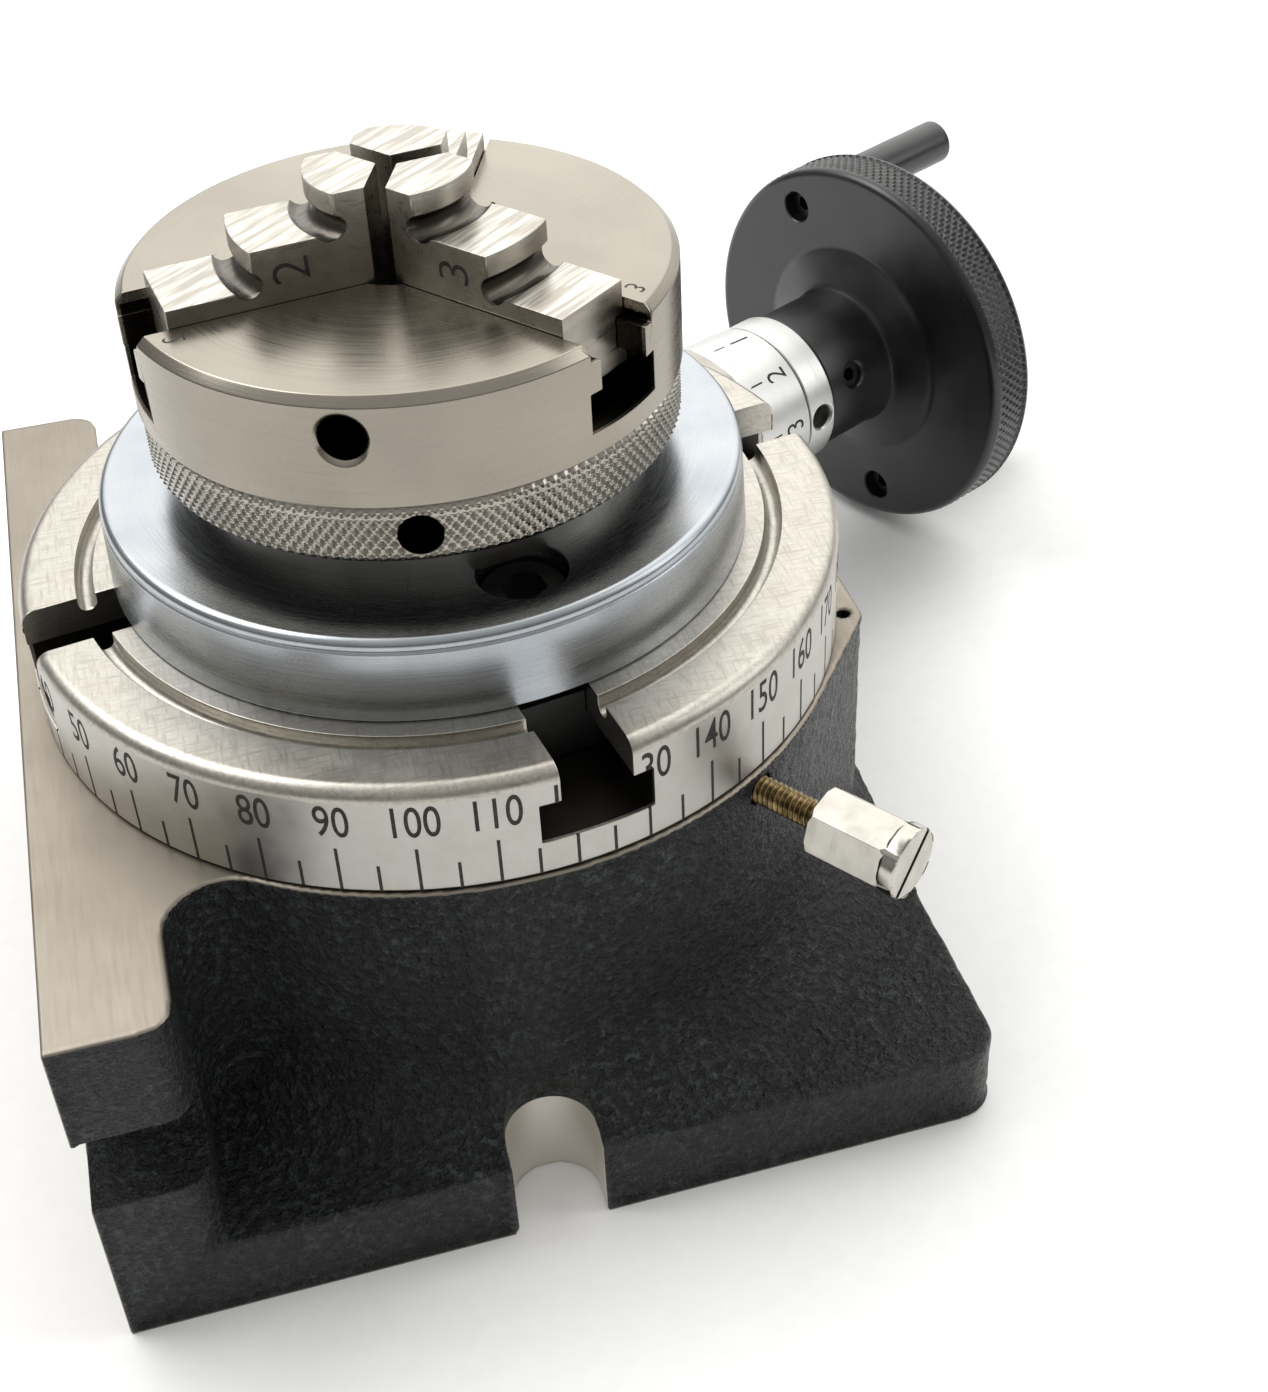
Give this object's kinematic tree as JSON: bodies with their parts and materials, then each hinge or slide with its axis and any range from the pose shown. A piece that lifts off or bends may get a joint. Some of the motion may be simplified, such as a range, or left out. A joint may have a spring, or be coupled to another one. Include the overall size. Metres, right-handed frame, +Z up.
{
  "type": "rotary table",
  "caption": "Small worm-driven rotary table for flat or upright mounting, with a dial and handwheel, carrying a lever-scroll three-jaw chuck on a round back plate.",
  "frame": {"origin": "the table's axis where it meets the plane of the base's underside", "axes": "+Z up along the table's axis, -Y to the front where the table lock and the front clamping slot are, -X to the tall foot"},
  "size_m": [0.1701, 0.1607, 0.1099],
  "materials": {
    "black_painted_casting": "matte",
    "ground_table_iron": "satin",
    "turned_plate_steel": "polished",
    "ground_chuck_steel": "satin",
    "knurled_ring_steel": "satin",
    "milled_jaw_steel": "satin",
    "black_oxide_screws": "satin",
    "bright_shaft_steel": "satin",
    "bearing_bronze": "satin",
    "satin_dial_metal": "satin",
    "black_handwheel": "satin",
    "plated_lock_steel": "bright"
  },
  "bodies": {
    "base": {"base_casting": "black_painted_casting", "thrust_ring": "bright_shaft_steel", "worm_sleeve": "bright_shaft_steel", "sleeve_clamp_screw": "black_oxide_screws", "worm_tail_bush": "bearing_bronze"},
    "table": {"table": "ground_table_iron", "worm_wheel": "bearing_bronze", "wheel_key": "bright_shaft_steel", "spindle_washer": "bearing_bronze", "spindle_nut": "bright_shaft_steel", "spindle_lock_nut": "bright_shaft_steel", "back_plate": "turned_plate_steel", "plate_screws": "black_oxide_screws", "t_nuts": "black_oxide_screws", "chuck_body": "ground_chuck_steel", "chuck_cover": "ground_chuck_steel", "chuck_cover_screws": "black_oxide_screws", "chuck_mounting_screws": "black_oxide_screws"},
    "scroll": {"scroll_ring": "knurled_ring_steel"},
    "jaw_body_1": {"jaw_1": "milled_jaw_steel"},
    "jaw_body_2": {"jaw_2": "milled_jaw_steel"},
    "jaw_body_3": {"jaw_3": "milled_jaw_steel"},
    "worm": {"worm_shaft": "bright_shaft_steel", "worm_thrust_washer": "bearing_bronze", "dial_collar": "satin_dial_metal", "dial_set_screw": "black_oxide_screws", "handwheel": "black_handwheel", "hub_grub_screw": "black_oxide_screws", "crank_handle_1": "black_handwheel", "crank_handle_2": "black_handwheel", "crank_screw_1": "black_oxide_screws", "crank_screw_2": "black_oxide_screws"},
    "dial": {"dial_ring": "satin_dial_metal"},
    "lock_pad_body": {"lock_pad": "bearing_bronze"},
    "lock_body": {"lock_screw": "plated_lock_steel"}
  },
  "joints": [
    {"name": "table_spin", "type": "hinge", "parent": "base", "child": "table", "pos_m": [0, 0, 0.0482], "axis": [0, 0, 1], "continuous": true},
    {"name": "worm_spin", "type": "hinge", "parent": "base", "child": "worm", "pos_m": [-0.01135, 0.02227, 0.0324], "axis": [0.891, 0.454, 0], "continuous": true},
    {"name": "dial_slip", "type": "hinge", "parent": "worm", "child": "dial", "pos_m": [0.05672, 0.05696, 0.0324], "axis": [0.891, 0.454, 0], "continuous": true},
    {"name": "scroll_turn", "type": "hinge", "parent": "table", "child": "scroll", "pos_m": [0, 0, 0.0818], "axis": [0, 0, 1], "range_deg": [-810, 0]},
    {"name": "jaw_1_slide", "type": "slide", "parent": "table", "child": "jaw_body_1", "axis": [0.3746, 0.9272, 0], "range_m": [0, 0.009]},
    {"name": "jaw_2_slide", "type": "slide", "parent": "table", "child": "jaw_body_2", "axis": [-0.9903, -0.1392, 0], "range_m": [0, 0.009]},
    {"name": "jaw_3_slide", "type": "slide", "parent": "table", "child": "jaw_body_3", "axis": [0.6157, -0.788, 0], "range_m": [0, 0.009]},
    {"name": "lock_pad_slide", "type": "slide", "parent": "base", "child": "lock_pad_body", "axis": [-0.5807, 0.8141, 0], "range_m": [0, 0.00035]},
    {"name": "lock_screw_turn", "type": "hinge", "parent": "lock_pad_body", "child": "lock_body", "pos_m": [0.03426, -0.04803, 0.0447], "axis": [0.5807, -0.8141, 0], "range_deg": [-210, 0]}
  ],
  "couplings": [
    {"joint": "worm_spin", "follows": "table_spin", "ratio": 40},
    {"joint": "jaw_1_slide", "follows": "scroll_turn", "m_per_rad": -0.00063662},
    {"joint": "jaw_2_slide", "follows": "scroll_turn", "m_per_rad": -0.00063662},
    {"joint": "jaw_3_slide", "follows": "scroll_turn", "m_per_rad": -0.00063662},
    {"joint": "lock_screw_turn", "follows": "lock_pad_slide", "rad_per_m": -10472}
  ]
}
